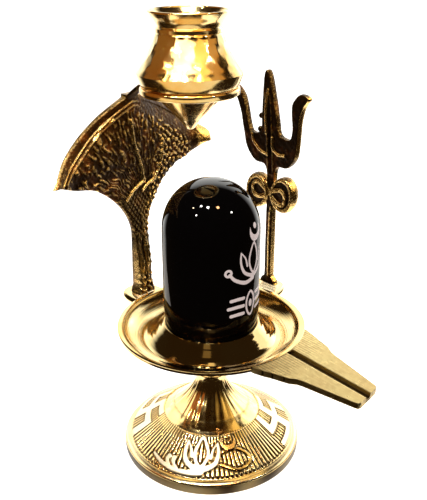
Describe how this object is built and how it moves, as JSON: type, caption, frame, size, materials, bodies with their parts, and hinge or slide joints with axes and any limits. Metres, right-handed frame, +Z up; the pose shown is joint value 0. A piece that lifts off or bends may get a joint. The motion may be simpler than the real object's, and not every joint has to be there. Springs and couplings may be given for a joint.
{
  "type": "shiva lingam",
  "caption": "Table-top shiva lingam: a polished black stone in a round brass dish with a long spout, under a cast serpent hood that holds a water pot, beside a cast trident",
  "frame": {"origin": "On the axis of the foot and the dish, on the surface the piece stands on", "axes": "+Z up along the axis of the foot, dish and stone; -Y out along the spout; +Y towards the serpent; +X towards the trident"},
  "size_m": [0.0794, 0.1019, 0.1495],
  "materials": {
    "foot_brass": "polished, with matte engraved grooves",
    "dish_brass": "polished, brushed on the spout",
    "black_stone": "gloss polished, with white painted marks",
    "hood_brass": "as cast, dark in the recesses and bright on the edges",
    "pot_brass": "polished, lightly hammered",
    "trident_brass": "as cast, dark in the recesses and bright on the edges"
  },
  "bodies": {
    "root": {"base_foot": "foot_brass", "yoni_dish": "dish_brass", "lingam_stone": "black_stone", "serpent_hood": "hood_brass", "water_pot": "pot_brass", "trident": "trident_brass"}
  },
  "joints": []
}
